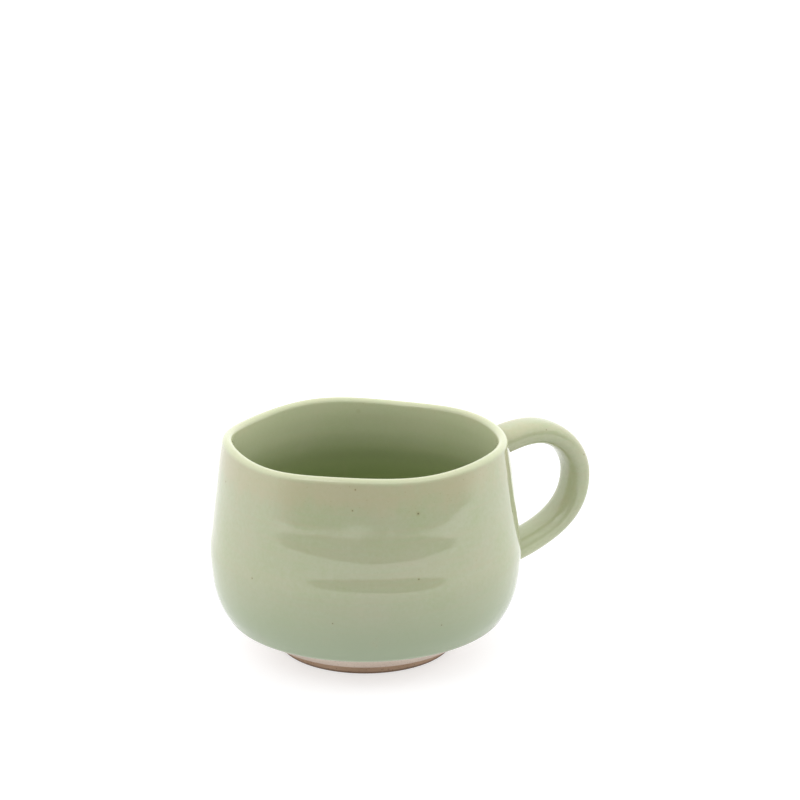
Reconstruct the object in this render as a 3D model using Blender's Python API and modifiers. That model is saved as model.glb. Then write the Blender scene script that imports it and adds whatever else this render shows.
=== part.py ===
"""Handmade stoneware mug: a thrown bowl on a trimmed foot, with a pulled strap handle.

The clay pieces are the bowl, its foot ring, the handle and the two slip joints that hold it.
Three thin coats of glaze lie over them: one outside, one inside and one round the handle.
Every piece is first made true round the bowl's axis, as it comes off the wheel. One smooth map
then pushes the rim out of round, and all the pieces follow it together.
Axes: +X points along the handle, +Z is up, and Z = 0 is the table.
"""
import math

import bmesh
import bpy
from mathutils import Vector

MM = 0.001

# Bowl, measured over its glaze
MUG_HEIGHT = 74.5 * MM
BELLY_RADIUS = 53.5 * MM
BELLY_HEIGHT = 34.5 * MM
RIM_TAPER = 5.2 * MM            # rim's outside, inside the belly's
LIP_THICKNESS = 3.6 * MM
BELLY_THICKNESS = 4.4 * MM
FLOOR_THICKNESS = 5.5 * MM
FLOOR_RADIUS = 22.0 * MM        # flat part of the floor
WALL_LEAN = math.radians(12)    # of the wall under the lip, inwards

# Trimmed underside and foot
CORNER_TAPER = 6.3 * MM         # trimmed corner, inside the belly
CORNER_HEIGHT = 11.5 * MM
CORNER_LEAN = math.radians(41)  # of the wall above the corner, outwards
FACET_OVERHANG = 5.3 * MM       # inner edge of the trimmed facet, outside the foot
FACET_RISE = 2.5 * MM           # and above it
FOOT_RADIUS = 30.2 * MM
FOOT_FLARE = 0.7 * MM           # how much wider the foot is at its top
FOOT_HEIGHT = 2.9 * MM
FOOT_WIDTH = 5.5 * MM
FOOT_EDGE = 0.5 * MM            # rounding where it meets the table

# Coats, joints and clearance
GLAZE_THICKNESS = 0.5 * MM
SLIP_THICKNESS = 1.2 * MM
SLIP_MARGIN = 1.6 * MM          # how far a slip joint shows round the strap
GAP = 0.3 * MM                  # between pieces that touch

# Handle, measured over its glaze
HANDLE_REACH = 31.9 * MM        # from the belly out to the strap's outermost face
STRAP_WIDTH = 14.0 * MM
STRAP_THICKNESS = 8.2 * MM
STRAP_SQUARENESS = 2.5          # exponent of the strap's oval section, 2 for an ellipse
ROOT_FLARE = 1.06               # section at the roots, over the section elsewhere
UPPER_ROOT_DROP = 8.5 * MM      # below the rim
UPPER_ROOT_TILT = math.radians(18)
LOWER_ROOT_DROP = 9.9 * MM      # below the widest part of the belly
LOWER_ROOT_TILT = math.radians(14)
LOOP_RISE = 2.5 * MM            # top of the strap's middle line, above the upper root
LOOP_TOP_OUT = 14.5 * MM        # and outside the rim
LOOP_SIDE_DROP = 18.0 * MM      # outermost point, below the loop's top
ROOT_OVERRUN = 4.0 * MM         # strap left on past the wall, before the wall trims it
PLUG_LENGTH = 10.0 * MM         # straight piece of strap that a slip joint is cut from

# How far the ends of each curve keep their direction, as shares of the curve's span
LIP_PULL, BELLY_PULL_UP = 0.32, 0.12
BELLY_PULL_DOWN, CORNER_PULL = 0.40, 0.27
FLOOR_PULL, INNER_BELLY_PULL = 0.70, 0.62
UPPER_ROOT_PULL, TOP_PULL_BACK = 0.35, 0.38
TOP_PULL_ON, SIDE_PULL_UP = 0.55, 0.52
SIDE_PULL_DOWN, LOWER_ROOT_PULL = 0.55, 0.62

# Rim pushed out of round: bulges round the rim, size, direction of the first in degrees
RIM_PUSH = ((1, 0.39 * MM, 87), (2, 0.36 * MM, -44), (3, 0.28 * MM, 3), (4, 0.38 * MM, -31))
RIM_LIFT = ((1, 0.70 * MM, -114), (3, 0.20 * MM, -24), (4, 0.28 * MM, -13), (5, 0.50 * MM, -53))
PUSH_FADE = 3.0                 # power of height by which the push fades down the wall

# Facets
ROUND_STEPS = 40
LIP_STEPS = 6
CURVE_STEPS = 4
FLOOR_STEPS = 5
STRAP_SIDES = 12
STRAP_STEPS = 7
WELD = 0.001 * MM

# Finishes: colour, roughness
GLAZE = ((0.40, 0.47, 0.29, 1.0), 0.12)
CLAY = ((0.52, 0.42, 0.33, 1.0), 0.85)
SLIP = ((0.45, 0.35, 0.27, 1.0), 0.80)

# Worked out from the sizes above
RIM_RADIUS = BELLY_RADIUS - RIM_TAPER
LIP_RADIUS = LIP_THICKNESS / 2
CORNER_RADIUS = BELLY_RADIUS - CORNER_TAPER
SIDE_RADIUS = BELLY_RADIUS + HANDLE_REACH       # the strap's outermost face, from the axis
AXIS_X = (BELLY_RADIUS - SIDE_RADIUS) / 2       # the bowl's axis, with the origin mid-length
CLAY_INSET = GLAZE_THICKNESS + GAP              # clay surface, under the glaze surface
JOINT_INSET = GLAZE_THICKNESS - SLIP_THICKNESS  # outer face of a slip joint


def collection(name):
    made = bpy.data.collections.new(name)
    bpy.context.scene.collection.children.link(made)
    return made


def finish_material(name, finish):
    colour, roughness = finish
    made = bpy.data.materials.new(name)
    made.use_nodes = True
    shader = made.node_tree.nodes["Principled BSDF"]
    shader.inputs["Base Color"].default_value = colour
    shader.inputs["Roughness"].default_value = roughness
    shader.inputs["Metallic"].default_value = 0.0
    return made


# ---------------------------------------------------------------- profiles, as (radius, height)

def curve(start, pull_start, pull_end, end, steps):
    """Points on a cubic curve, without its last one."""
    points = []
    for i in range(steps):
        t = i / steps
        weights = ((1 - t) ** 3, 3 * t * (1 - t) ** 2, 3 * t * t * (1 - t), t ** 3)
        corners = (start, pull_start, pull_end, end)
        points.append(tuple(sum(w * c[k] for w, c in zip(weights, corners)) for k in (0, 1)))
    return points


def lip_point(angle):
    return (RIM_RADIUS - LIP_RADIUS + LIP_RADIUS * math.cos(angle),
            MUG_HEIGHT - LIP_RADIUS + LIP_RADIUS * math.sin(angle))


def upper_wall(shoulder, belly):
    """From the shoulder under the lip down to the belly, where the wall stands upright."""
    rise = shoulder[1] - belly[1]
    pull = LIP_PULL * rise
    below_shoulder = (shoulder[0] + pull * math.tan(WALL_LEAN), shoulder[1] - pull)
    above_belly = (belly[0], belly[1] + BELLY_PULL_UP * rise)
    return curve(shoulder, below_shoulder, above_belly, belly, CURVE_STEPS)


def outside():
    """The glazed outside, from the lip's shoulder down to the trimmed corner."""
    belly = (BELLY_RADIUS, BELLY_HEIGHT)
    corner = (CORNER_RADIUS, CORNER_HEIGHT)
    rise = BELLY_HEIGHT - CORNER_HEIGHT
    below_belly = (BELLY_RADIUS, BELLY_HEIGHT - BELLY_PULL_DOWN * rise)
    pull = CORNER_PULL * rise
    above_corner = (CORNER_RADIUS + pull * math.tan(CORNER_LEAN), CORNER_HEIGHT + pull)
    lower_wall = curve(belly, below_belly, above_corner, corner, CURVE_STEPS)
    return upper_wall(lip_point(WALL_LEAN), belly) + lower_wall + [corner]


def inside():
    """The glazed inside, from the floor's centre up to the lip's inner shoulder."""
    floor_height = FOOT_HEIGHT + FLOOR_THICKNESS
    belly = (BELLY_RADIUS - BELLY_THICKNESS, BELLY_HEIGHT)
    floor_edge = (FLOOR_RADIUS, floor_height)
    beyond_floor = (FLOOR_RADIUS + FLOOR_PULL * (belly[0] - FLOOR_RADIUS), floor_height)
    below_belly = (belly[0], belly[1] - INNER_BELLY_PULL * (belly[1] - floor_height))
    lower_wall = curve(floor_edge, beyond_floor, below_belly, belly, FLOOR_STEPS)
    shoulder = lip_point(math.pi + WALL_LEAN)
    return [(0.0, floor_height)] + lower_wall + [belly] + upper_wall(shoulder, belly)[:0:-1]


def lip_arc(start, end, steps):
    return [lip_point(start + (end - start) * i / steps) for i in range(steps + 1)]


def inset(points, distance):
    """The same line, moved by distance into the clay, which lies to the right of its run."""
    moved = []
    for i, (radius, height) in enumerate(points):
        before = Vector(points[max(i - 1, 0)])
        after = Vector(points[min(i + 1, len(points) - 1)])
        run = (after - before).normalized()
        moved.append((radius + distance * run.y, height - distance * run.x))
    return moved


def turned(name, points):
    """A solid turned round Z: the profile runs down its outer side, open only on the axis."""
    ring = points[0][0] > 0
    mesh = bpy.data.meshes.new(name)
    edges = [(i, i + 1) for i in range(len(points) - 1)]
    if ring:
        edges.append((len(points) - 1, 0))
    mesh.from_pydata([(radius, 0.0, height) for radius, height in points], edges, [])
    made = bpy.data.objects.new(name, mesh)
    cutters.objects.link(made)
    screw = made.modifiers.new("Turn", "SCREW")
    screw.steps = screw.render_steps = ROUND_STEPS
    screw.use_merge_vertices = True
    screw.merge_threshold = WELD
    return made


def bowl_profile():
    """Clay from the floor's centre over the lip, down the outside, under the facet to the foot."""
    lip = lip_arc(math.pi + WALL_LEAN, WALL_LEAN, LIP_STEPS)
    glazed = inside() + lip[:-1] + outside()
    foot_seat = FOOT_HEIGHT + GAP
    underside = [
        (FOOT_RADIUS + FACET_OVERHANG, FOOT_HEIGHT + FACET_RISE),
        (FOOT_RADIUS + FOOT_FLARE + GAP, foot_seat),
        (0.0, foot_seat),
    ]
    return inset(glazed, CLAY_INSET) + underside


def foot_profile():
    outer, inner = FOOT_RADIUS, FOOT_RADIUS - FOOT_WIDTH
    return [
        (outer + FOOT_FLARE, FOOT_HEIGHT),
        (outer, FOOT_EDGE),
        (outer - FOOT_EDGE, 0.0),
        (inner + FOOT_EDGE, 0.0),
        (inner, FOOT_EDGE),
        (inner - FOOT_FLARE, FOOT_HEIGHT),
    ]


def coat(line):
    """A closed profile of one coat of glaze, with the line as its outer face."""
    return line + inset(line, GLAZE_THICKNESS)[::-1]


def envelope(name, distance):
    """A solid that fills the bowl, out to the glazed outside moved in by distance."""
    line = inset(outside(), distance)
    return turned(name, [(0.0, line[0][1])] + line + [(0.0, line[-1][1])])


# ---------------------------------------------------------------- the strap

def wall_radius(height):
    """Radius of the glazed outside at a height."""
    line = outside()
    for (r_above, z_above), (r_below, z_below) in zip(line, line[1:]):
        if z_below <= height <= z_above:
            return r_above + (r_below - r_above) * (z_above - height) / (z_above - z_below)
    return line[0][0]


def strap_path():
    """The strap's middle line in the plane of the handle: each point with its two pulls."""
    upper_height = MUG_HEIGHT - UPPER_ROOT_DROP
    lower_height = BELLY_HEIGHT - LOWER_ROOT_DROP
    upper_root = Vector((wall_radius(upper_height), upper_height))
    lower_root = Vector((wall_radius(lower_height), lower_height))
    top = Vector((RIM_RADIUS + LOOP_TOP_OUT, upper_height + LOOP_RISE))
    side = Vector((SIDE_RADIUS - STRAP_THICKNESS / 2, top.y - LOOP_SIDE_DROP))
    upper_way = Vector((math.cos(UPPER_ROOT_TILT), math.sin(UPPER_ROOT_TILT)))
    lower_way = Vector((math.cos(LOWER_ROOT_TILT), math.sin(LOWER_ROOT_TILT)))
    first = upper_root - ROOT_OVERRUN * upper_way
    last = lower_root - ROOT_OVERRUN * lower_way
    leaving = upper_root + UPPER_ROOT_PULL * (top.x - upper_root.x) * upper_way
    returning = lower_root + LOWER_ROOT_PULL * (side.x - lower_root.x) * lower_way
    before_top = top - Vector((TOP_PULL_BACK * (top.x - upper_root.x), 0))
    after_top = top + Vector((TOP_PULL_ON * (side.x - top.x), 0))
    before_side = side + Vector((0, SIDE_PULL_UP * (top.y - side.y)))
    after_side = side - Vector((0, SIDE_PULL_DOWN * (side.y - lower_root.y)))
    return (
        (first, first, leaving),
        (top, before_top, after_top),
        (side, before_side, after_side),
        (last, returning, last),
    )


def strap_section(name, grow):
    """The strap's flattened oval outline, grown all round, as a guide for a curve's bevel."""
    outline = bpy.data.curves.new(name, "CURVE")
    outline.dimensions = "2D"
    spline = outline.splines.new("POLY")
    spline.points.add(STRAP_SIDES - 1)
    spline.use_cyclic_u = True
    for i, point in enumerate(spline.points):
        angle = 2 * math.pi * (i + 0.5) / STRAP_SIDES
        x, y = math.cos(angle), math.sin(angle)
        square = (abs(x) ** STRAP_SQUARENESS + abs(y) ** STRAP_SQUARENESS) ** (1 / STRAP_SQUARENESS)
        across = (STRAP_WIDTH / 2 + grow) * x / square
        through = (STRAP_THICKNESS / 2 + grow) * y / square
        point.co = (through, across, 0, 1)
    guide = bpy.data.objects.new(name, outline)
    cutters.objects.link(guide)
    return guide


def swept(name, path, flares, grow):
    """A strap section swept along a path in the handle's plane, as a mesh that stands upright."""
    line = bpy.data.curves.new(name, "CURVE")
    line.dimensions = "3D"
    line.twist_mode = "Z_UP"
    line.resolution_u = line.render_resolution_u = STRAP_STEPS
    line.bevel_mode = "OBJECT"
    line.bevel_object = strap_section(name + "_section", grow)
    line.use_fill_caps = True
    spline = line.splines.new("BEZIER")
    spline.bezier_points.add(len(path) - 1)
    for knot, (place, before, after), flare in zip(spline.bezier_points, path, flares):
        knot.handle_left_type = knot.handle_right_type = "FREE"
        knot.co = (*place, 0)
        knot.handle_left = (*before, 0)
        knot.handle_right = (*after, 0)
        knot.radius = flare
    drawn = bpy.data.objects.new(name, line)
    cutters.objects.link(drawn)
    mesh = meshed(drawn)
    bpy.data.objects.remove(drawn)
    solid = bmesh.new()
    solid.from_mesh(mesh)
    bmesh.ops.remove_doubles(solid, verts=solid.verts, dist=WELD)
    for vert in solid.verts:
        vert.co = (vert.co.x, -vert.co.z, vert.co.y)
    solid.to_mesh(mesh)
    solid.free()
    made = bpy.data.objects.new(name, mesh)
    cutters.objects.link(made)
    return made


def strap(name, grow):
    return swept(name, strap_path(), (ROOT_FLARE, 1, 1, ROOT_FLARE), grow)


def root_plug(name, root_point, toward, grow):
    """A straight length of flared strap, from inside the wall out past a slip joint. It starts
    half its own thickness further in than the strap, so that its lower edge, where the wall
    draws in, is inside the wall as well."""
    place, other = strap_path()[root_point][0], strap_path()[root_point][toward]
    way = (other - place).normalized()
    start = place - (STRAP_THICKNESS / 2 + grow) * way
    end = place + PLUG_LENGTH * way
    third = (end - start) / 3
    ends = ((start, start, start + third), (end, end - third, end))
    return swept(name, ends, (ROOT_FLARE, ROOT_FLARE), grow)


# ---------------------------------------------------------------- finishing

def meshed(piece):
    """A mesh of the object as its modifiers or its bevel leave it."""
    graph = bpy.context.evaluated_depsgraph_get()
    return bpy.data.meshes.new_from_object(piece.evaluated_get(graph))


def boolean(piece, operation, other):
    step = piece.modifiers.new(operation.title(), "BOOLEAN")
    step.operation = operation
    step.solver = "EXACT"
    step.object = other


def pushed(x, y, z):
    """Where the potter's push moves a point of the true form."""
    fade = max(z / MUG_HEIGHT, 0.0) ** PUSH_FADE
    bearing = math.atan2(y, x)

    def waves(series):
        return sum(size * math.cos(bulges * (bearing - math.radians(first)))
                   for bulges, size, first in series)

    scale = 1 + fade * waves(RIM_PUSH) / RIM_RADIUS
    return (x * scale, y * scale, z + fade * waves(RIM_LIFT))


def finished(name, piece, material):
    """The piece as a plain mesh, pushed out of round with the rim and set on the mug's origin."""
    mesh = meshed(piece)
    for vert in mesh.vertices:
        vert.co = pushed(*vert.co)
    mesh.materials.clear()
    mesh.materials.append(material)
    mesh.shade_smooth()
    mesh.set_sharp_from_angle(angle=math.radians(35))
    mesh.name = name
    made = bpy.data.objects.new(name, mesh)
    mug.objects.link(made)
    made.parent = axis
    return made


# ---------------------------------------------------------------- the mug

for old in list(bpy.data.objects):
    bpy.data.objects.remove(old)

mug = collection("ceramic_mug")
cutters = collection("cutters")
axis = bpy.data.objects.new("bowl_axis", None)
axis.location = (AXIS_X, 0, 0)
mug.objects.link(axis)

glaze = finish_material("sage_glaze", GLAZE)
clay = finish_material("bare_stoneware", CLAY)
slip = finish_material("slip", SLIP)


# The outer coat ends on the crest of the lip, and the liner begins just past it.
parting = math.asin(GAP / (2 * (LIP_RADIUS - GLAZE_THICKNESS)))
outer_line = lip_arc(math.pi / 2 - parting, WALL_LEAN, LIP_STEPS // 2)[:-1] + outside()
liner_line = inside() + lip_arc(math.pi + WALL_LEAN, math.pi / 2 + parting, LIP_STEPS // 2)

bowl = turned("true_bowl", bowl_profile())
foot = turned("true_foot", foot_profile())
outer_coat = turned("true_outer_coat", coat(outer_line))
liner_coat = turned("true_liner_coat", coat(liner_line))

strap_clay = strap("true_strap", -CLAY_INSET)
strap_coat = strap("true_strap_coat", 0.0)
boolean(strap_coat, "DIFFERENCE", strap("strap_core", -GLAZE_THICKNESS))
wall_and_joint = envelope("wall_and_joint", JOINT_INSET - GAP)
boolean(strap_clay, "DIFFERENCE", wall_and_joint)
boolean(strap_coat, "DIFFERENCE", wall_and_joint)

joint_face = envelope("joint_face", JOINT_INSET)
clay_face = envelope("clay_face", CLAY_INSET - GAP)
joints = {}
for joint_name, root_point, toward in (("upper_slip_joint", 0, 2), ("lower_slip_joint", 3, 1)):
    plug = root_plug(joint_name + "_plug", root_point, toward, SLIP_MARGIN)
    boolean(plug, "INTERSECT", joint_face)
    boolean(plug, "DIFFERENCE", clay_face)
    joints[joint_name] = plug
    window = root_plug(joint_name + "_window", root_point, toward, SLIP_MARGIN + GAP)
    boolean(outer_coat, "DIFFERENCE", window)

finished("bowl", bowl, clay)
finished("foot_ring", foot, clay)
finished("outer_glaze", outer_coat, glaze)
finished("liner_glaze", liner_coat, glaze)
finished("handle", strap_clay, clay)
finished("handle_glaze", strap_coat, glaze)
for joint_name, plug in joints.items():
    finished(joint_name, plug, slip)

for cutter in cutters.objects:
    cutter.hide_render = True
    cutter.display_type = "WIRE"
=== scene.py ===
import math

import bmesh
import bpy
import numpy as np
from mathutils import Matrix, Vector


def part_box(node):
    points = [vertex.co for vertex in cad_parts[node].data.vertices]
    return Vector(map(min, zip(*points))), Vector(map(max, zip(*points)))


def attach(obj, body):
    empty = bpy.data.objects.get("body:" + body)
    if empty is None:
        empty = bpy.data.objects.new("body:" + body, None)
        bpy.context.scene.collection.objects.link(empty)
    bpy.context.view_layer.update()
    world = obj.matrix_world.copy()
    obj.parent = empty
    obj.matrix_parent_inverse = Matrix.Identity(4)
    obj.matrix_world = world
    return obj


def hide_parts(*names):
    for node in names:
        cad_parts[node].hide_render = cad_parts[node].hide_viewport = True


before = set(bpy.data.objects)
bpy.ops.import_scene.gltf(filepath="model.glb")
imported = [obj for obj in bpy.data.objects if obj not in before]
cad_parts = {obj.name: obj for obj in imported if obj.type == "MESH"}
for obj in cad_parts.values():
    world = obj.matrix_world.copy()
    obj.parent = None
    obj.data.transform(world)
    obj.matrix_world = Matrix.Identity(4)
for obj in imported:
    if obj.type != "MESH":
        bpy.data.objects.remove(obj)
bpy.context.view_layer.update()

# ---------------------------------------------------------------- the bowl's clay
# The bowl is buff stoneware, thrown on the wheel and trimmed underneath when leather hard.
# Only the trimmed facet above the foot and the hollow inside the foot are left bare.

# All points are in millimetres round the bowl's own axis until they are placed.
MM = 0.001
foot_low, foot_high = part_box("foot_ring")
AXIS = Vector(((foot_low.x + foot_high.x) / 2, (foot_low.y + foot_high.y) / 2, foot_low.z))

MUG_HEIGHT = 74.5
BELLY_RADIUS = 53.5
BELLY_HEIGHT = 34.5
RIM_RADIUS = 48.3
LIP_RADIUS = 1.8
WALL_LEAN = math.radians(12)    # under the lip, outside
INNER_LEAN = math.radians(-7)   # and inside, where the collar thickens
OUTER_LIP_END = 12              # degrees round the lip at which it meets the outside
INNER_LIP_END = 173             # and the inside
INNER_BELLY_RADIUS = 49.1
FLOOR_HEIGHT = 8.4
FLOOR_RADIUS = 22.0
CORNER = np.array((47.2, 11.5))
CORNER_LEAN = math.radians(41)
FACET_END = np.array((36.1, 5.05))
FOOT_SEAT = np.array((31.2, 3.0))
GLAZE_THICKNESS = 0.5
AROUND = 288                    # points round the bowl
PUSH_FADE = 3                   # how fast the push dies away down the wall

# The potter's push on the rim: bulges round the rim, size, direction of the first in degrees.
RIM_PUSH = ((1, 0.39, 87), (2, 0.36, -44), (3, 0.28, 3), (4, 0.38, -31))
RIM_LIFT = ((1, 0.70, -114), (3, 0.20, -24), (4, 0.28, -13), (5, 0.50, -53))


def placed(points):
    """Points of the true form, pushed out of round with the rim and set in the mug's own frame."""
    points = np.asarray(points, float)
    x, y, z = points[..., 0], points[..., 1], points[..., 2]
    fade = np.clip(z / MUG_HEIGHT, 0, None) ** PUSH_FADE
    bearing = np.arctan2(y, x)
    push = sum(size * np.cos(k * (bearing - math.radians(first))) for k, size, first in RIM_PUSH)
    lift = sum(size * np.cos(k * (bearing - math.radians(first))) for k, size, first in RIM_LIFT)
    scale = 1 + fade * push / RIM_RADIUS
    moved = np.stack((x * scale, y * scale, z + fade * lift), axis=-1)
    return moved * MM + np.array(AXIS)


def cubic(start, pull_start, pull_end, end, steps):
    """Points on a cubic curve, without its last one."""
    way = np.linspace(0, 1, steps, endpoint=False)[:, None]
    corners = [np.asarray(c, float) for c in (start, pull_start, pull_end, end)]
    weights = ((1 - way) ** 3, 3 * way * (1 - way) ** 2, 3 * way * way * (1 - way), way ** 3)
    return sum(w * c for w, c in zip(weights, corners))


def lip_line(start, end, steps):
    """The rounded lip between two angles, 0 facing outwards and 90 degrees at its crest."""
    angle = np.radians(np.linspace(start, end, steps))
    return np.stack((RIM_RADIUS - LIP_RADIUS + LIP_RADIUS * np.cos(angle),
                     MUG_HEIGHT - LIP_RADIUS + LIP_RADIUS * np.sin(angle)), axis=1)


def upper_wall(shoulder, belly, lean, steps):
    """The wall from the lip's shoulder, where it leans, down to the upright belly."""
    rise = shoulder[1] - belly[1]
    pull = 0.32 * rise
    below = (shoulder[0] + pull * math.tan(lean), shoulder[1] - pull)
    return cubic(shoulder, below, (belly[0], belly[1] + 0.12 * rise), belly, steps)


def outer_line():
    """Glazed outside, as radius and height, from the lip's shoulder down to the corner."""
    belly = (BELLY_RADIUS, BELLY_HEIGHT)
    rise = BELLY_HEIGHT - CORNER[1]
    pull = 0.27 * rise
    above = (CORNER[0] + pull * math.tan(CORNER_LEAN), CORNER[1] + pull)
    lower = cubic(belly, (belly[0], belly[1] - 0.40 * rise), above, CORNER, 44)
    shoulder = lip_line(OUTER_LIP_END, OUTER_LIP_END, 1)[0]
    return np.vstack((upper_wall(shoulder, belly, WALL_LEAN, 72), lower, CORNER))


def inner_line():
    """Glazed inside, from the lip's inner shoulder down to the middle of the floor."""
    belly = (INNER_BELLY_RADIUS, BELLY_HEIGHT)
    reach = belly[0] - FLOOR_RADIUS
    beyond = (FLOOR_RADIUS + 0.70 * reach, FLOOR_HEIGHT)
    below = (belly[0], belly[1] - 0.62 * (belly[1] - FLOOR_HEIGHT))
    lower = cubic(belly, below, beyond, (FLOOR_RADIUS, FLOOR_HEIGHT), 40)
    flat = np.stack((np.linspace(FLOOR_RADIUS, 1.0, 12), np.full(12, FLOOR_HEIGHT)), axis=1)
    shoulder = lip_line(INNER_LIP_END, INNER_LIP_END, 1)[0]
    return np.vstack((upper_wall(shoulder, belly, INNER_LEAN, 48), lower, flat))


def inset(line, distance):
    """The same line moved into the clay, which lies on the right of its run down the outside."""
    heading = np.gradient(line, axis=0)
    heading /= np.linalg.norm(heading, axis=1)[:, None]
    return line + distance * np.stack((heading[:, 1], -heading[:, 0]), axis=1)


def turned(line, relief=None):
    """Rings of points round the axis, one for each point of the line, with any relief added."""
    bearing = np.linspace(0, 2 * math.pi, AROUND, endpoint=False)
    radius = np.repeat(line[:, :1], AROUND, axis=1)
    height = np.repeat(line[:, 1:], AROUND, axis=1)
    if relief is not None:
        radius = radius + relief(height, bearing[None, :])
    return np.stack((radius * np.cos(bearing), radius * np.sin(bearing), height), axis=-1)


def facing(rings):
    """The unit normal at every point of placed rings."""
    down = np.gradient(rings, axis=0)
    sideways = np.roll(rings, -1, axis=1) - np.roll(rings, 1, axis=1)
    normal = np.cross(sideways, down)
    return normal / np.linalg.norm(normal, axis=-1, keepdims=True)


def shell(name, rings, looped, normals=None):
    """A closed mesh through rings of placed points. A loop joins its last ring to its first;
    otherwise each end is filled with a fan. Normals may be given for the first rings."""
    count, around = rings.shape[:2]
    verts = rings.reshape(-1, 3).tolist()
    here = np.arange(around)
    after = np.roll(here, -1)
    faces = []
    for i in range(count if looped else count - 1):
        a, b = i * around, (i + 1) % count * around
        faces += np.stack((a + here, a + after, b + after, b + here), axis=1).tolist()
    if not looped:
        for i in (0, count - 1):
            verts.append(rings[i].mean(axis=0).tolist())
            hub = len(verts) - 1
            order = 1 if i else -1
            faces += [(i * around + a, i * around + b, hub)[::order] for a, b in zip(here, after)]
    mesh = bpy.data.meshes.new(name)
    mesh.from_pydata(verts, [], [tuple(f) for f in faces])
    solid = bmesh.new()
    solid.from_mesh(mesh)
    bmesh.ops.recalc_face_normals(solid, faces=solid.faces)
    solid.to_mesh(mesh)
    solid.free()
    mesh.shade_smooth()
    made = bpy.data.objects.new(name, mesh)
    bpy.context.scene.collection.objects.link(made)
    if normals is not None:
        own = np.array([v.normal[:] for v in mesh.vertices])
        given = normals.reshape(-1, 3)
        own[:len(given)] = given
        mesh.normals_split_custom_set_from_vertices(own.tolist())
    return made


def linear(code):
    """Linear colour from an sRGB hex value."""
    parts = [int(code[i:i + 2], 16) / 255 for i in (0, 2, 4)]
    return (*[c / 12.92 if c <= 0.04045 else ((c + 0.055) / 1.055) ** 2.4 for c in parts], 1.0)


def add(tree, kind, inputs=None, **settings):
    """One node with its settings; each input takes a value or another node's output."""
    made = tree.nodes.new(kind)
    for name, value in settings.items():
        setattr(made, name, value)
    for socket, value in (inputs or {}).items():
        if isinstance(value, bpy.types.NodeSocket):
            tree.links.new(value, made.inputs[socket])
        else:
            made.inputs[socket].default_value = value
    return made


def material(name):
    """A new material with its node tree and its shader."""
    made = bpy.data.materials.new(name)
    made.use_nodes = True
    return made, made.node_tree, made.node_tree.nodes["Principled BSDF"]


def bare_stoneware(name, body_colour, stain_colour, stain, contact_shadow):
    """Fired stoneware left unglazed: dry and matt, with fine lines from the trimming tool,
    fine dark grog, a warmer flush where the kiln coloured it, and a painted contact shadow along the
    edge it stands on."""
    made, tree, shader = material(name)
    where = add(tree, "ShaderNodeTexCoord").outputs["Object"]
    from_axis = add(tree, "ShaderNodeVectorMath", {0: where, 1: tuple(-AXIS)}).outputs["Vector"]
    axes = add(tree, "ShaderNodeSeparateXYZ", {0: from_axis})
    flat = add(tree, "ShaderNodeCombineXYZ", {0: axes.outputs[0], 1: axes.outputs[1]})
    radius = add(tree, "ShaderNodeVectorMath", {0: flat.outputs[0]}, operation="LENGTH")
    profile = add(tree, "ShaderNodeMath", {0: radius.outputs["Value"], 1: axes.outputs[2]},
                  operation="ADD").outputs[0]
    # Tool lines about 0.35 mm apart.
    lines_at = add(tree, "ShaderNodeCombineXYZ", {2: profile})
    lines = add(tree, "ShaderNodeTexNoise",
                {"Vector": lines_at.outputs[0], "Scale": 1 / 0.00035, "Detail": 2.0})
    # Grog in grains of about 0.4 mm, drawn a little coarse so that they show.
    grains = add(tree, "ShaderNodeTexVoronoi", {"Vector": where, "Scale": 1 / 0.0011})
    near = add(tree, "ShaderNodeMapRange",
               {"Value": grains.outputs["Distance"], "From Min": 0.16, "From Max": 0.30,
                "To Min": 0.5, "To Max": 0.0})
    flush = add(tree, "ShaderNodeTexNoise", {"Vector": where, "Scale": 1 / 0.012, "Detail": 3.0})
    warm = add(tree, "ShaderNodeMapRange",
               {"Value": flush.outputs["Fac"], "From Min": 0.35, "From Max": 0.7,
                "To Min": 0.0, "To Max": stain})
    body = add(tree, "ShaderNodeMix",
               {0: warm.outputs[0], 6: linear(body_colour), 7: linear(stain_colour)},
               data_type="RGBA")
    lined = add(tree, "ShaderNodeMapRange",
                {"Value": lines.outputs["Fac"], "From Min": 0.3, "From Max": 0.7,
                 "To Min": 0.0, "To Max": 0.28})
    toned = add(tree, "ShaderNodeMix",
                {0: lined.outputs[0], 6: body.outputs[2], 7: linear(stain_colour)},
                data_type="RGBA")
    speckled = add(tree, "ShaderNodeMix",
                   {0: near.outputs[0], 6: toned.outputs[2], 7: linear("6E5240")},
                   data_type="RGBA")
    # The edge that stands on the table is darkened with a painted contact shadow.
    low = add(tree, "ShaderNodeMapRange",
              {"Value": axes.outputs[2], "From Min": 0.0003, "From Max": 0.0011,
               "To Min": contact_shadow, "To Max": 0.0})
    contact_shaded = add(tree, "ShaderNodeMix",
                  {0: low.outputs[0], 6: speckled.outputs[2], 7: linear("5F4B3B")},
                  data_type="RGBA")
    grit = add(tree, "ShaderNodeTexNoise", {"Vector": where, "Scale": 1 / 0.0005, "Detail": 3.0})
    height = add(tree, "ShaderNodeMath",
                 {0: lines.outputs["Fac"], 1: grit.outputs["Fac"]}, operation="ADD")
    bump = add(tree, "ShaderNodeBump",
               {"Strength": 0.6, "Distance": 0.00012, "Height": height.outputs[0]})
    tree.links.new(contact_shaded.outputs[2], shader.inputs["Base Color"])
    tree.links.new(bump.outputs[0], shader.inputs["Normal"])
    shader.inputs["Roughness"].default_value = 0.88
    shader.inputs["IOR"].default_value = 1.45
    return made


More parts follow.
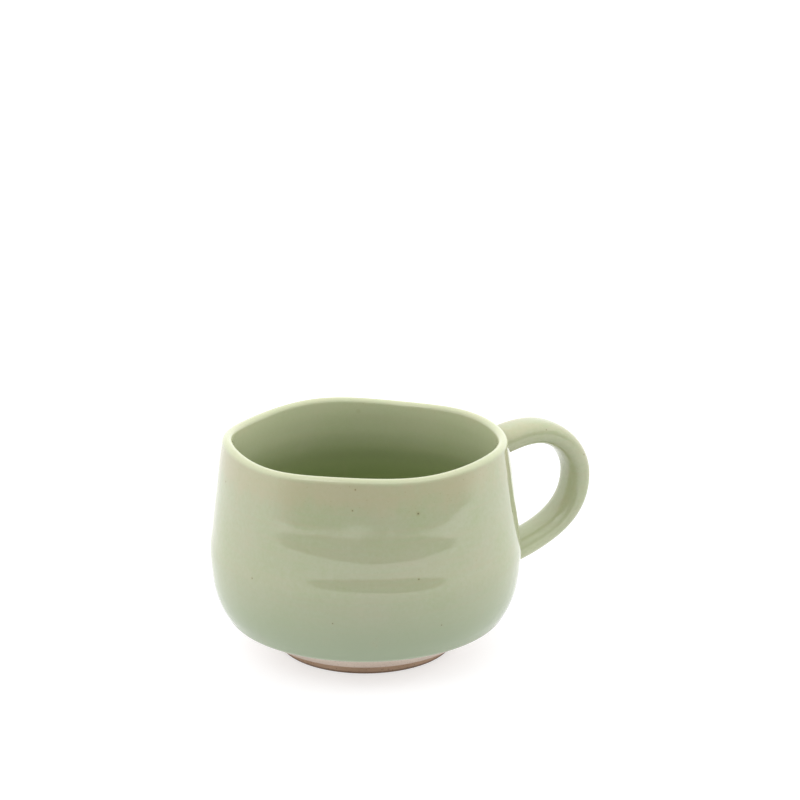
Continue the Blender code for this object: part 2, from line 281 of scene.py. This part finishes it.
lip_over = lip_line(INNER_LIP_END, OUTER_LIP_END, 24)
clay_line = np.vstack((inner_line()[::-1], lip_over[1:-1], outer_line()))
clay_line = inset(clay_line, GLAZE_THICKNESS)
facet = clay_line[-1] + np.outer((0.25, 0.5, 0.75, 1.0), FACET_END - clay_line[-1])
turn_under = np.array(((35.4, 4.6), (34.6, 4.2), (33.2, 3.8), (31.9, 3.3), FOOT_SEAT))
hollow = np.array(((24.0, 3.0), (23.5, 3.15), (21.0, 3.35), (14.0, 3.45), (5.0, 3.5), (1.0, 3.5)))
under_line = np.vstack((facet, turn_under, hollow))
bowl_clay = shell("bowl_clay", placed(turned(np.vstack((clay_line, under_line)))), False)
pale_stoneware = bare_stoneware("pale_bare_stoneware", "C9BAAC", "B09D8D", stain=0.5, contact_shadow=0.0)
bowl_clay.data.materials.append(pale_stoneware)
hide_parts("bowl")
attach(bowl_clay, "root")

# ---------------------------------------------------------------- the foot ring
# The foot is a low ring of the same clay, cut with a loop tool and left bare to stand on.
# It took more of the kiln's flash than the facet, so it is browner, and its edges are softened.
foot_line = np.array((
    (30.90, 2.95), (30.75, 2.4), (30.6, 1.7), (30.45, 1.0), (30.35, 0.5), (30.25, 0.2),
    (30.05, 0.05), (29.8, 0.0), (29.3, 0.0), (27.4, 0.0), (25.6, 0.0), (25.15, 0.06),
    (24.9, 0.28), (24.75, 0.6), (24.5, 1.3), (24.2, 2.2), (24.0, 2.95),
))
foot_ring = shell("foot_ring_clay", placed(turned(foot_line)), True)
# Its lowest edge is darkened with a painted contact shadow where it meets the table.
flashed_stoneware = bare_stoneware("flashed_bare_stoneware", "B89C84", "9C7F67",
                                   stain=0.6, contact_shadow=0.9)
foot_ring.data.materials.append(flashed_stoneware)
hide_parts("foot_ring")
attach(foot_ring, "root")

# ---------------------------------------------------------------- the glaze on the bowl
# One dip of sage green celadon outside and one pour inside meet on the crest of the lip.
# The glaze is thin and breaks tan over the rim, and it pools to a cooler green low down,
# where it ends in a thick rolled edge above the trimmed facet.
FRONT = math.radians(-113)      # the side of the bowl that shows the rings best

# The throwing rings: height on the wall, and how far the wall leans back there, in degrees.
RING_TILTS = ((70.0, 0.0), (66.0, -0.3), (62.5, -2.1), (56.5, -1.1), (54.0, 0.2), (51.5, 1.0),
              (48.5, 0.9), (46.5, 0.2), (45.0, 0.4), (41.0, 3.8), (38.0, 4.1), (33.5, -3.1),
              (29.5, -2.1), (22.0, 0.0))
INNER_RING_TILTS = ((68.0, 0.0), (62.0, 2.0), (54.0, -2.2), (46.0, 2.0), (38.0, -2.0), (30.0, 0.0))


def ring_relief(tilts):
    """How far the rings stand out from the true wall, by height and bearing."""
    fine = np.linspace(tilts[-1][0], tilts[0][0], 600)
    heights = [t[0] for t in tilts][::-1]
    leans = [t[1] for t in tilts][::-1]
    softened = np.full(13, 1 / 13)      # a running mean over about 1 mm
    lean = np.convolve(np.interp(fine, heights, leans), softened, mode="same")
    step = fine[1] - fine[0]
    out = np.cumsum(np.tan(np.radians(lean))[::-1])[::-1] * step

    def relief(height, bearing):
        turn = bearing - FRONT
        climbed = height + 0.7 * np.sin(turn)
        share = 1 + 0.12 * (np.cos(2 * turn) - 1) + 0.06 * np.sin(3 * turn)
        wobble = 0.010 * np.sin(5 * turn + height / 5.0) + 0.005 * np.sin(9 * turn - height / 4.0)
        # Finer ripples, about 7 mm apart, are deeper away from the front.
        ripple = 0.015 * (1 - np.cos(turn)) * np.sin(height * 2 * math.pi / 7.1 + turn)
        # Both die away under the lip and above the corner.
        fade = np.clip((MUG_HEIGHT - 3 - height) / 10, 0, 1) * np.clip((height - 14) / 10, 0, 1)
        broad = np.interp(climbed, fine, out, left=out[0], right=0.0)
        return broad * share + (wobble + ripple) * fade

    return relief


outer_relief = ring_relief(RING_TILTS)
inner_relief = ring_relief(INNER_RING_TILTS)


# The coat's lower edge, from the corner: out from the wall and on down it. The melted glaze
# swells a little there and rounds off on to the clay.
BEAD = ((0.06, -2.2), (0.12, -1.4), (0.10, -0.8), (0.02, -0.4), (-0.14, -0.12), (-0.34, 0.0),
        (-0.52, 0.0))
wall_down = np.array((-math.sin(CORNER_LEAN), -math.cos(CORNER_LEAN)))
wall_out = np.array((math.cos(CORNER_LEAN), -math.sin(CORNER_LEAN)))
bead = np.array([CORNER + out * wall_out + down * wall_down for out, down in BEAD])
glaze_line = np.vstack((lip_line(90, OUTER_LIP_END, 13)[:-1], outer_line()[:-6], bead))
inside_line = np.vstack((lip_line(90, INNER_LIP_END, 15)[:-1], inner_line()))
whole_line = np.vstack((glaze_line[::-1], inside_line[1:]))


def both_reliefs(height, bearing):
    """Relief for a line over the lip: the outer rings up the outside, then the inner rings."""
    crest = len(glaze_line)
    return np.vstack((outer_relief(height[:crest], bearing),
                      -inner_relief(height[crest:], bearing)))


front = placed(turned(whole_line, both_reliefs))
front_normals = facing(front)


def glaze_coat(name, start, stop, node):
    """One coat of glaze between two rings of the whole glazed surface."""
    outside = front[start:stop]
    normals = front_normals[start:stop]
    behind = outside - normals * GLAZE_THICKNESS * 0.9 * MM
    made = shell(name, np.concatenate((outside, behind[::-1])), True, normals)
    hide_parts(node)
    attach(made, "root")
    return made


def wall_at(bearing, height):
    """A point of the glazed outside in the true form."""
    line = outer_line()[::-1]
    radius = np.interp(height, line[:, 1], line[:, 0]) + outer_relief(height, bearing)
    return np.stack((radius * np.cos(bearing), radius * np.sin(bearing), height), axis=-1)


# Iron specks on the outside, by bearing in degrees, height and size, then one inside the rim
# and three on the handle, by place and size.
IRON_SPECKS = [(tuple(placed(wall_at(math.radians(bearing), np.float64(height)))), size)
               for bearing, height, size in (
                   (-117, 71.5, 0.20), (-118, 65.0, 0.22), (-93, 63.5, 0.34), (-94, 42.0, 0.24),
                   (-125, 27.5, 0.18), (-85, 24.5, 0.18), (-38, 52.0, 0.28), (22, 34.0, 0.24),
                   (64, 61.0, 0.30), (101, 29.0, 0.24), (139, 47.0, 0.34), (176, 64.0, 0.24),
                   (-158, 38.0, 0.22))]
IRON_SPECKS.append((tuple(placed((15.6, 42.8, 70.0))), 0.6))
IRON_SPECKS += [(tuple(AXIS + Vector(place) * MM), size) for place, size in (
    ((74.4, -3.5, 69.0), 0.26), ((81.4, -6.5, 59.0), 0.26), ((66.2, -6.5, 70.2), 0.18))]


def sage_glaze(name):
    """Celadon, a clear feldspar glaze coloured green by iron: glossy and glassy, with a tan
    break where it is thin, a cool pool where it is thick, and a few dark iron specks."""
    made, tree, shader = material(name)
    where = add(tree, "ShaderNodeTexCoord").outputs["Object"]
    thin = add(tree, "ShaderNodeAttribute", attribute_name="thin").outputs["Fac"]
    pool = add(tree, "ShaderNodeAttribute", attribute_name="pool").outputs["Fac"]
    deep_and_shaded = add(tree, "ShaderNodeAttribute", attribute_name="deep_and_shaded").outputs["Fac"]
    pale_and_painted_light = add(tree, "ShaderNodeAttribute", attribute_name="pale_and_painted_light").outputs["Fac"]
    # Streaks left by the potter's fingers: about 1 mm high and 30 mm long.
    stretch = add(tree, "ShaderNodeVectorMath", {0: where, 1: (30.0, 30.0, 900.0)},
                  operation="MULTIPLY")
    streaks = add(tree, "ShaderNodeTexNoise",
                  {"Vector": stretch.outputs[0], "Scale": 1.0, "Detail": 4.0, "Roughness": 0.6})
    # Runs of melted glaze, about 4 mm wide and 12 mm long.
    running = add(tree, "ShaderNodeVectorMath", {0: where, 1: (230.0, 230.0, 80.0)},
                  operation="MULTIPLY")
    runs = add(tree, "ShaderNodeTexNoise",
               {"Vector": running.outputs[0], "Scale": 1.0, "Detail": 3.0, "Roughness": 0.6})
    # Cloudy patches of thicker and thinner glaze, about 15 mm across.
    clouds = add(tree, "ShaderNodeTexNoise",
                 {"Vector": where, "Scale": 1 / 0.015, "Detail": 3.0, "Roughness": 0.55})
    # Mottling about 1.5 mm across, where bubbles cloud the melt.
    mottle = add(tree, "ShaderNodeTexNoise",
                 {"Vector": where, "Scale": 1 / 0.0015, "Detail": 3.0, "Roughness": 0.65})
    cloudy = add(tree, "ShaderNodeMapRange",
                 {"Value": clouds.outputs["Fac"], "From Min": 0.3, "From Max": 0.7})
    green = add(tree, "ShaderNodeMix",
                {0: cloudy.outputs[0], 6: linear("A4AD88"), 7: linear("ABAF91")},
                data_type="RGBA")
    mottled = add(tree, "ShaderNodeMapRange",
                  {"Value": mottle.outputs["Fac"], "From Min": 0.35, "From Max": 0.7,
                   "To Min": 0.0, "To Max": 0.35})
    milky = add(tree, "ShaderNodeMix",
                {0: mottled.outputs[0], 6: green.outputs[2], 7: linear("B4B99D")},
                data_type="RGBA")
    streaky = add(tree, "ShaderNodeMapRange",
                  {"Value": streaks.outputs["Fac"], "From Min": 0.42, "From Max": 0.72,
                   "To Min": 0.0, "To Max": 0.45})
    streaked = add(tree, "ShaderNodeMix",
                   {0: streaky.outputs[0], 6: milky.outputs[2], 7: linear("B1AC8F")},
                   data_type="RGBA")
    pooled = add(tree, "ShaderNodeMix",
                 {0: pool, 6: streaked.outputs[2], 7: linear("98A588")}, data_type="RGBA")
    # Deep inside, a darker green: thicker glaze, and painted shade for the dark well of the mug.
    lined = add(tree, "ShaderNodeMix",
                {0: deep_and_shaded, 6: pooled.outputs[2], 7: linear("869460")}, data_type="RGBA")
    ragged = add(tree, "ShaderNodeMath", {0: runs.outputs["Fac"], 1: clouds.outputs["Fac"]},
                 operation="ADD")
    uneven = add(tree, "ShaderNodeMapRange",
                 {"Value": ragged.outputs[0], "From Min": 0.6, "From Max": 1.4,
                  "To Min": -0.55, "To Max": 0.55})
    spread = add(tree, "ShaderNodeMath", {0: uneven.outputs[0], 1: thin}, operation="ADD")
    broken = add(tree, "ShaderNodeMapRange",
                 {"Value": spread.outputs[0], "From Min": 0.15, "From Max": 1.05,
                  "To Min": 0.0, "To Max": 0.42}, interpolation_type="SMOOTHSTEP")
    tan = add(tree, "ShaderNodeMix",
              {0: broken.outputs[0], 6: lined.outputs[2], 7: linear("B6AA8B")},
              data_type="RGBA")
    # Paler cream round the crest of the lip, where the glaze is thin, strengthened as a painted
    # highlight; inside below the rim and low on the handle the same cream is painted light.
    lightened = add(tree, "ShaderNodeMix",
                 {0: pale_and_painted_light, 6: tan.outputs[2], 7: linear("CBD1AC")}, data_type="RGBA")
    # Tan freckles of about 0.3 mm, closer together where the glaze is thin.
    freckles = add(tree, "ShaderNodeTexVoronoi", {"Vector": where, "Scale": 1 / 0.0016})
    freckle = add(tree, "ShaderNodeMapRange",
                  {"Value": freckles.outputs["Distance"], "From Min": 0.05, "From Max": 0.14,
                   "To Min": 0.40, "To Max": 0.0})
    gate = add(tree, "ShaderNodeMapRange",
               {"Value": spread.outputs[0], "From Min": -0.1, "From Max": 0.9,
                "To Min": 0.18, "To Max": 1.0})
    shown = add(tree, "ShaderNodeMath", {0: freckle.outputs[0], 1: gate.outputs[0]},
                operation="MULTIPLY")
    colour = add(tree, "ShaderNodeMix",
                 {0: shown.outputs[0], 6: lightened.outputs[2], 7: linear("857250")},
                 data_type="RGBA")
    # Iron specks that melted out of the clay, each a soft dark dot with a tan ring.
    for place, size in IRON_SPECKS:
        away = add(tree, "ShaderNodeVectorMath", {0: where, 1: place}, operation="DISTANCE")
        for reach, strength, shade in ((2.6, 0.35, "8F8458"), (1.0, 0.85, "4B4530")):
            spot = add(tree, "ShaderNodeMapRange",
                       {"Value": away.outputs["Value"], "From Min": 0.35 * reach * size * MM,
                        "From Max": reach * size * MM, "To Min": strength, "To Max": 0.0})
            colour = add(tree, "ShaderNodeMix",
                         {0: spot.outputs[0], 6: colour.outputs[2], 7: linear(shade)},
                         data_type="RGBA")
    # The surface of the melted glaze rolls very gently over about 7 mm.
    roll = add(tree, "ShaderNodeTexNoise", {"Vector": where, "Scale": 1 / 0.007, "Detail": 1.0})
    bump = add(tree, "ShaderNodeBump",
               {"Strength": 0.35, "Distance": 0.00006, "Height": roll.outputs["Fac"]})
    tree.links.new(colour.outputs[2], shader.inputs["Base Color"])
    tree.links.new(bump.outputs[0], shader.inputs["Normal"])
    shader.inputs["Roughness"].default_value = 0.04
    shader.inputs["IOR"].default_value = 1.52
    return made


def mark(piece, name, values):
    """A value for every vertex, for the material to read."""
    layer = piece.data.attributes.new(name, "FLOAT", "POINT")
    full = np.zeros(len(piece.data.vertices), np.float32)
    values = np.asarray(values, np.float32).ravel()
    full[:len(values)] = values
    layer.data.foreach_set("value", full)


def smooth_step(value, low, high):
    """0 at low, 1 at high, with a smooth run between them."""
    part = np.clip((value - low) / (high - low), 0, 1)
    return part * part * (3 - 2 * part)


# Where the glaze is thin and breaks tan, where it pools outside, where it is deep inside and
# darker, partly thicker glaze and partly painted shade, and where it turns pale round the crest of
# the lip, a thinner glaze strengthened as a painted highlight; inside below the rim it is lightened
# with painted light.
middle = len(glaze_line) - 1
heights = np.repeat(whole_line[:, 1:], AROUND, axis=1)
bearings = np.linspace(0, 2 * math.pi, AROUND, endpoint=False)[None, :]
is_outer = np.arange(len(whole_line))[:, None] <= middle
below_rim = MUG_HEIGHT - heights
drift = 0.80 + 0.20 * np.cos(bearings - math.radians(-140))
from_lip = 0.55 + 0.45 * smooth_step(below_rim, 0.5, 3.0)
rim_break = from_lip * (1 - smooth_step(below_rim, 4.0, 16.0)) * drift
inner_break = 0.6 * (1 - smooth_step(below_rim, 0.5, 6.0))
thin = np.where(is_outer, rim_break, inner_break)
pool = np.where(is_outer, 1 - smooth_step(heights, 10, 42), 0.0)
# Inside, darker with depth below the rim: thicker glaze and painted shade.
deep_and_shaded = np.where(is_outer, 0.0, smooth_step(below_rim, 2.0, 34.0))
# Round the crest of the lip the glaze thins paler, strengthened as a painted highlight; inside, the
# wall below the rim is lightened with painted light.
crest = 0.55 * (1 - smooth_step(below_rim, 0.5, 1.9))
pale_and_painted_light = np.where(is_outer, crest, np.maximum(crest, 0.42 * (1 - smooth_step(below_rim, 4.0, 24.0))))

glaze = sage_glaze("sage_celadon_glaze")
for name, start, stop, node in (("outer_glaze_coat", 0, middle + 1, "outer_glaze"),
                                ("liner_glaze_coat", middle, len(whole_line), "liner_glaze")):
    coat = glaze_coat(name, start, stop, node)
    coat.data.materials.append(glaze)
    for layer, values in (("thin", thin), ("pool", pool), ("deep_and_shaded", deep_and_shaded), ("pale_and_painted_light", pale_and_painted_light)):
        mark(coat, layer, np.concatenate((values[start:stop], values[start:stop][::-1])))

# ---------------------------------------------------------------- the handle
# A pulled strap of the same clay, bent into an ear while it was soft and glazed with the bowl.
# Its section is a flattened oval, and the glaze breaks pale along its rounded edges.
STRAP_WIDTH = 14.0
STRAP_THICKNESS = 8.2
STRAP_SQUARENESS = 2.5          # exponent of the oval section, 2 for an ellipse
SIDE_RADIUS = 85.4              # from the bowl's axis to the strap's outermost face
UPPER_ROOT_HEIGHT, LOWER_ROOT_HEIGHT = 66.0, 24.6
UPPER_TILT, LOWER_TILT = math.radians(18), math.radians(14)
ROOT_FLARE = 0.06               # how much wider the strap is at its roots
FILLET = 2.6                    # width of the cove round each root
STRAP_SIDES = 64
STRAP_ROWS = 130
FILLET_ROWS = 10


def strap_middle():
    """The strap's middle line in the plane of the handle, from inside the wall to inside it."""
    upper = np.array((wall_at(0.0, UPPER_ROOT_HEIGHT)[0], UPPER_ROOT_HEIGHT))
    lower = np.array((wall_at(0.0, LOWER_ROOT_HEIGHT)[0], LOWER_ROOT_HEIGHT))
    top = np.array((RIM_RADIUS + 14.5, 68.5))
    side = np.array((SIDE_RADIUS - STRAP_THICKNESS / 2, 50.5))
    up_way = np.array((math.cos(UPPER_TILT), math.sin(UPPER_TILT)))
    low_way = np.array((math.cos(LOWER_TILT), math.sin(LOWER_TILT)))
    start, stop = upper - 4 * up_way, lower - 4 * low_way
    leaving = upper + 0.35 * (top[0] - upper[0]) * up_way
    returning = lower + 0.62 * (side[0] - lower[0]) * low_way
    over_top = (0.38 * (top[0] - upper[0]), 0)
    past_top = (0.55 * (side[0] - top[0]), 0)
    above_side = (0, 0.52 * (top[1] - side[1]))
    below_side = (0, 0.55 * (side[1] - lower[1]))
    return np.vstack((cubic(start, leaving, top - over_top, top, 160),
                      cubic(top, top + past_top, side + above_side, side, 120),
                      cubic(side, side - below_side, returning, stop, 200), stop))


middle_line = strap_middle()
run = np.gradient(middle_line, axis=0)
length = np.concatenate(([0], np.cumsum(np.linalg.norm(np.diff(middle_line, axis=0), axis=1))))
run /= np.linalg.norm(run, axis=1)[:, None]
out_way = np.stack((-run[:, 1], run[:, 0]), axis=1)      # away from the loop's inside
turn = np.linspace(0, 2 * math.pi, STRAP_SIDES, endpoint=False)
powers = np.abs(np.cos(turn)) ** STRAP_SQUARENESS + np.abs(np.sin(turn)) ** STRAP_SQUARENESS
oval = powers ** (1 / STRAP_SQUARENESS)
across = STRAP_WIDTH / 2 * np.cos(turn) / oval
through = STRAP_THICKNESS / 2 * np.sin(turn) / oval
share = length / length[-1]
flare = 1 + ROOT_FLARE * (smooth_step(share, 0.25, 0.0) + smooth_step(share, 0.75, 1.0))

# Every side of the strap as a long line from inside the wall, round the loop and back.
in_plane = middle_line[:, None, :] + (flare[:, None] * through)[..., None] * out_way[:, None, :]
sides = np.stack((in_plane[..., 0], np.broadcast_to(flare[:, None] * across, in_plane.shape[:2]),
                  in_plane[..., 1]), axis=-1)


def crossing(side, level, backwards):
    """Where one side of the strap first stands that far off the wall, as a place along it."""
    off = clearance[:, side]
    order = np.arange(len(off))[::-1] if backwards else np.arange(len(off))
    past = next(i for i in order if off[i] > level)
    before = past + (1 if backwards else -1)
    part = (level - off[before]) / (off[past] - off[before])
    return before + part * (past - before)


def along(side, place):
    """A point of one side of the strap at a place along it."""
    whole = np.arange(len(sides))
    return np.stack([np.interp(place, whole, sides[:, side, k]) for k in range(3)], axis=-1)


def onto_wall(feet):
    """Where the fillet's outer edge lies on the wall, for a ring of points on it."""
    around = np.arctan2(feet[:, 1], feet[:, 0])
    flat = np.stack((around * BELLY_RADIUS, feet[:, 2]), axis=1)
    way = np.roll(flat, -1, axis=0) - np.roll(flat, 1, axis=0)
    away = np.stack((way[:, 1], -way[:, 0]), axis=1)
    away /= np.linalg.norm(away, axis=1)[:, None]
    if np.sum(away * (flat - flat.mean(axis=0))) < 0:
        away = -away
    moved = flat + FILLET * away
    return moved[:, 0] / BELLY_RADIUS, moved[:, 1]


def wall_facing(bearing, height):
    """The unit normal of the glazed wall, so that a cove's edge shades as the wall does."""
    step = 0.01
    sideways = placed(wall_at(bearing + step, height)) - placed(wall_at(bearing - step, height))
    upwards = placed(wall_at(bearing, height + 0.4)) - placed(wall_at(bearing, height - 0.4))
    normal = np.cross(sideways, upwards)
    return normal / np.linalg.norm(normal, axis=-1, keepdims=True)


# Each root starts as a curve from the wall, past the corner where strap and wall meet, to a ring
# on the strap.
wall = wall_at(np.arctan2(sides[..., 1], sides[..., 0]), sides[..., 2])
clearance = np.hypot(sides[..., 0], sides[..., 1]) - np.hypot(wall[..., 0], wall[..., 1])
rise = np.linspace(0, 1, FILLET_ROWS)[:, None, None]
ends, edge_normals, starts = [], [], []
for backwards in (False, True):
    feet = np.array([along(i, crossing(i, 0.0, backwards)) for i in range(STRAP_SIDES)])
    leave = np.array([crossing(i, FILLET * 0.95, backwards) for i in range(STRAP_SIDES)])
    begin = np.array([along(i, leave[i]) for i in range(STRAP_SIDES)])
    rim_bearing, rim_height = onto_wall(feet)
    rim = wall_at(rim_bearing, rim_height)
    ends.append((1 - rise) ** 2 * rim + 2 * rise * (1 - rise) * feet + rise * rise * begin)
    edge_normals.append(wall_facing(rim_bearing, rim_height))
    starts.append(leave)
spacing = np.linspace(0, 1, STRAP_ROWS)
strap_rows = np.stack([along(i, starts[0][i] + (starts[1][i] - starts[0][i]) * spacing)
                       for i in range(STRAP_SIDES)], axis=1)
ear_points = np.concatenate((ends[0], strap_rows[1:-1], ends[1][::-1]))
ear = placed(ear_points)
ear_normals = facing(ear)
ear_normals[0], ear_normals[-1] = edge_normals
ear[0] -= ear_normals[0] * 0.02 * MM
ear[-1] -= ear_normals[-1] * 0.02 * MM

# The glaze breaks along the strap's rounded edges and on top of the loop, is lightened
# low down with painted light, and next to the wall it is the wall's own glaze.
row = np.arange(len(ear))
round_loop = (row / row[-1])[:, None]
from_wall = smooth_step(np.minimum(row, row[::-1]), 0, FILLET_ROWS)[:, None]
rounded_edge = (np.abs(np.cos(turn)) * np.abs(np.sin(turn)) * 2)[None, :] ** 2
outer_face = smooth_step(np.sin(turn), 0.0, 0.9)[None, :]
ear_below_rim = MUG_HEIGHT - ear_points[..., 2]
wall_break = 0.65 * (1 - smooth_step(ear_below_rim, 4.0, 16.0))
strap_break = 0.35 * rounded_edge + 0.5 * outer_face * (1 - smooth_step(round_loop, 0.25, 0.55))
ear_thin = strap_break * from_wall + wall_break * (1 - from_wall)
ear_pool = (1 - smooth_step(ear_points[..., 2], 10, 42)) * (1 - from_wall)
ear_painted_light = 0.35 * smooth_step(round_loop, 0.70, 0.92) * from_wall * np.ones((1, STRAP_SIDES))

# The strap itself runs between its two joints. Each end is stuck to the scored wall with slip,
# and the joint is smoothed to a small cove that fills with glaze.
COVE_THICKNESS = 0.6
strap_end = len(ear) - FILLET_ROWS
for name, start, stop, nodes in (
        ("handle_strap", FILLET_ROWS - 1, strap_end + 1, ("handle", "handle_glaze")),
        ("upper_joint_cove", 0, FILLET_ROWS, ("upper_slip_joint",)),
        ("lower_joint_cove", strap_end, len(ear), ("lower_slip_joint",))):
    outside = ear[start:stop]
    normals = ear_normals[start:stop]
    solid_strap = name == "handle_strap"
    behind = outside - normals * COVE_THICKNESS * MM
    rings = outside if solid_strap else np.concatenate((outside, behind[::-1]))
    made = shell(name, rings, not solid_strap, normals)
    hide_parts(*nodes)
    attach(made, "root")
    made.data.materials.append(glaze)
    for layer, values in (("thin", ear_thin), ("pool", ear_pool), ("pale_and_painted_light", ear_painted_light)):
        shown = values[start:stop]
        mark(made, layer, shown if solid_strap else np.concatenate((shown, shown[::-1])))

# ---------------------------------------------------------------- the studio
# A broad sheet of white acrylic under the mug, white surroundings, a soft light high on the
# left, and a dark flag in front that only the gloss of the glaze shows.
# Lengths in the studio are in metres.
HALF = 4.0
table = bpy.data.meshes.new("table")
table_corners = [(-HALF, -HALF, 0), (HALF, -HALF, 0), (HALF, HALF, 0), (-HALF, HALF, 0)]
table.from_pydata(table_corners, [], [(0, 1, 2, 3)])
floor = bpy.data.objects.new("table", table)
floor.location.z = AXIS.z
bpy.context.scene.collection.objects.link(floor)
white, tree, shader = material("white_acrylic")
shader.inputs["Base Color"].default_value = linear("AFB0B2")
shader.inputs["Roughness"].default_value = 0.6
shader.inputs["Specular IOR Level"].default_value = 0.2
shader.inputs["Emission Color"].default_value = (1, 1, 1, 1)
shader.inputs["Emission Strength"].default_value = 0.64
table.materials.append(white)

FLAG_DISTANCE = 0.53
FLAG_HEIGHT = 0.34
FLAG_FROM, FLAG_TO = FRONT - math.radians(85), FRONT + math.radians(95)
FLAG_COLUMNS = 60
bend = np.linspace(FLAG_FROM, FLAG_TO, FLAG_COLUMNS)
verts = [(AXIS.x + FLAG_DISTANCE * math.cos(a), FLAG_DISTANCE * math.sin(a), h)
         for h in (0.001, FLAG_HEIGHT) for a in bend]
flag_mesh = bpy.data.meshes.new("flag")
flag_mesh.from_pydata(verts, [], [(i, i + 1, i + FLAG_COLUMNS + 1, i + FLAG_COLUMNS)
                                  for i in range(FLAG_COLUMNS - 1)])
flag = bpy.data.objects.new("flag", flag_mesh)
bpy.context.scene.collection.objects.link(flag)
# Its two ends fade out, so that the glaze shows no hard edge there.
fraction = np.linspace(0, 1, FLAG_COLUMNS)
cover_across = smooth_step(fraction, 0.0, 0.18) * smooth_step(fraction, 1.0, 0.86)
mark(flag, "cover", np.tile(cover_across, 2))
black, tree, shader = material("black_felt")
shader.inputs["Base Color"].default_value = linear("303030")
shader.inputs["Roughness"].default_value = 1.0
cover = add(tree, "ShaderNodeAttribute", attribute_name="cover").outputs["Fac"]
# The table close to the flag is kept clear of its shade.
reach = add(tree, "ShaderNodeLightPath").outputs["Ray Length"]
distant = add(tree, "ShaderNodeMath", {0: reach, 1: 0.40}, operation="GREATER_THAN")
alpha = add(tree, "ShaderNodeMath", {0: cover, 1: distant.outputs[0]}, operation="MULTIPLY")
tree.links.new(alpha.outputs[0], shader.inputs["Alpha"])
flag_mesh.materials.append(black)
flag.visible_camera = False

surroundings = bpy.data.worlds.new("white_room")
surroundings.use_nodes = True
bpy.context.scene.world = surroundings
background = surroundings.node_tree.nodes["Background"]
background.inputs["Color"].default_value = (1, 1, 1, 1)
background.inputs["Strength"].default_value = 1.45

# Softboxes: name, place, side of the square, power, and whether the glaze mirrors them.
for name, place, side, power, mirrored in (
        ("left_softbox", (-0.95, -0.25, 0.95), 0.9, 3.0, True),
        ("right_softbox", (0.85, -0.62, 0.50), 0.6, 5.0, False)):
    lamp = bpy.data.lights.new(name, "AREA")
    lamp.shape = "SQUARE"
    lamp.size = side
    lamp.energy = power
    softbox = bpy.data.objects.new(name, lamp)
    softbox.location = place
    softbox.rotation_euler = (AXIS - Vector(place)).to_track_quat("-Z", "Y").to_euler()
    softbox.visible_glossy = mirrored
    bpy.context.scene.collection.objects.link(softbox)

lens = bpy.data.cameras.new("camera")
lens.lens = 111.09
lens.sensor_width = 36
lens.clip_start = 0.01
camera = bpy.data.objects.new("camera", lens)
camera.location = (-0.3305, -0.7357, 0.3400)
camera.rotation_euler = (math.radians(72.5), 0, math.radians(-24))
bpy.context.scene.collection.objects.link(camera)
bpy.context.scene.camera = camera
bpy.context.scene.view_settings.view_transform = "Standard"
